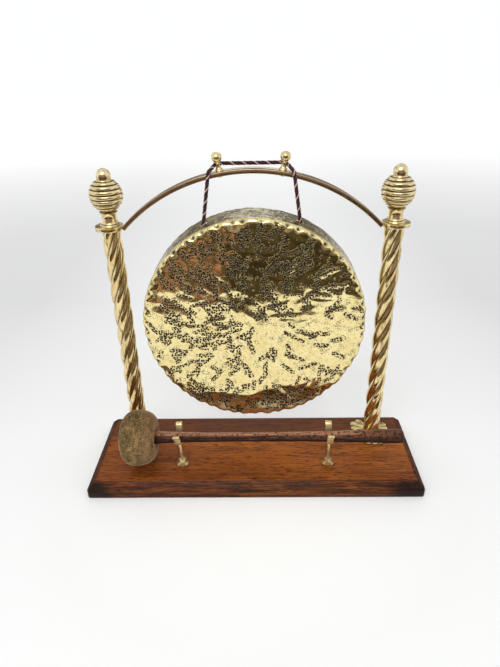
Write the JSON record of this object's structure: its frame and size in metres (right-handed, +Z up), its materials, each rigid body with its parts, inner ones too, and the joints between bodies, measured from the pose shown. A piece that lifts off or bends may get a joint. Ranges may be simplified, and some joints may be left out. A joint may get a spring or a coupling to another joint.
{
  "type": "tabletop tam tam gong on a stand",
  "caption": "Beaten brass gong hung on a twisted cord from an arch between two rope-twist columns on a bevelled wooden base, with a padded mallet lying in two forked cradles.",
  "frame": {"origin": "middle of the base board's underside, on the table", "axes": "+X along the base to the player's right, +Y away from the player, +Z up; the gong's face looks along -Y"},
  "size_m": [0.34, 0.115, 0.3206],
  "materials": {
    "base_wood": "satin varnished reddish-brown hardwood with fine straight grain",
    "polished_brass": "polished, slightly worn",
    "turned_brass": "turned and polished, dark in the grooves",
    "cast_brass": "cast and polished, a little uneven",
    "gong_brass": "hand-beaten mirror polish with dark punched strokes",
    "steel": "plain zinc-plated",
    "cord": "twisted black and maroon cord with a pale pink strand",
    "handle_wood": "dark stained and waxed",
    "suede": "olive-brown suede nap"
  },
  "bodies": {
    "stand": {"base_board": "base_wood", "rosette_left": "cast_brass", "rosette_right": "cast_brass", "column_left": "polished_brass", "column_right": "polished_brass", "base_stud_left": "steel", "base_stud_right": "steel", "base_washer_left": "steel", "base_washer_right": "steel", "base_nut_left": "steel", "base_nut_right": "steel", "arch_bar": "polished_brass", "tie_stud_left": "steel", "tie_stud_right": "steel", "finial_left": "turned_brass", "finial_right": "turned_brass", "finial_cap_left": "turned_brass", "finial_cap_right": "turned_brass", "cord_peg_left": "turned_brass", "cord_peg_right": "turned_brass", "cord_top": "cord", "cradle_post_left": "turned_brass", "cradle_post_right": "turned_brass", "cradle_screw_left": "steel", "cradle_screw_right": "steel", "cradle_fork_left": "cast_brass", "cradle_fork_right": "cast_brass", "fork_rivet_left": "turned_brass", "fork_rivet_right": "turned_brass"},
    "hanger": {"cord_leg_left": "cord", "cord_leg_right": "cord", "cord_knot_left": "cord", "cord_knot_right": "cord"},
    "gong_body": {"gong": "gong_brass"},
    "mallet": {"mallet_handle": "handle_wood", "mallet_core": "handle_wood", "mallet_cover": "suede"}
  },
  "joints": [
    {"name": "hanger_swing", "type": "hinge", "parent": "stand", "child": "hanger", "pos_m": [0, 0.0191, 0.2975], "axis": [1, 0, 0], "range_deg": [-12, 15]},
    {"name": "gong_tilt", "type": "hinge", "parent": "hanger", "child": "gong_body", "pos_m": [0, 0.0191, 0.2527], "axis": [1, 0, 0], "range_deg": [-8, 8]},
    {"name": "mallet_lift", "type": "slide", "parent": "stand", "child": "mallet", "axis": [0, -0.2079, 0.9781], "range_m": [0, 0.16]}
  ]
}
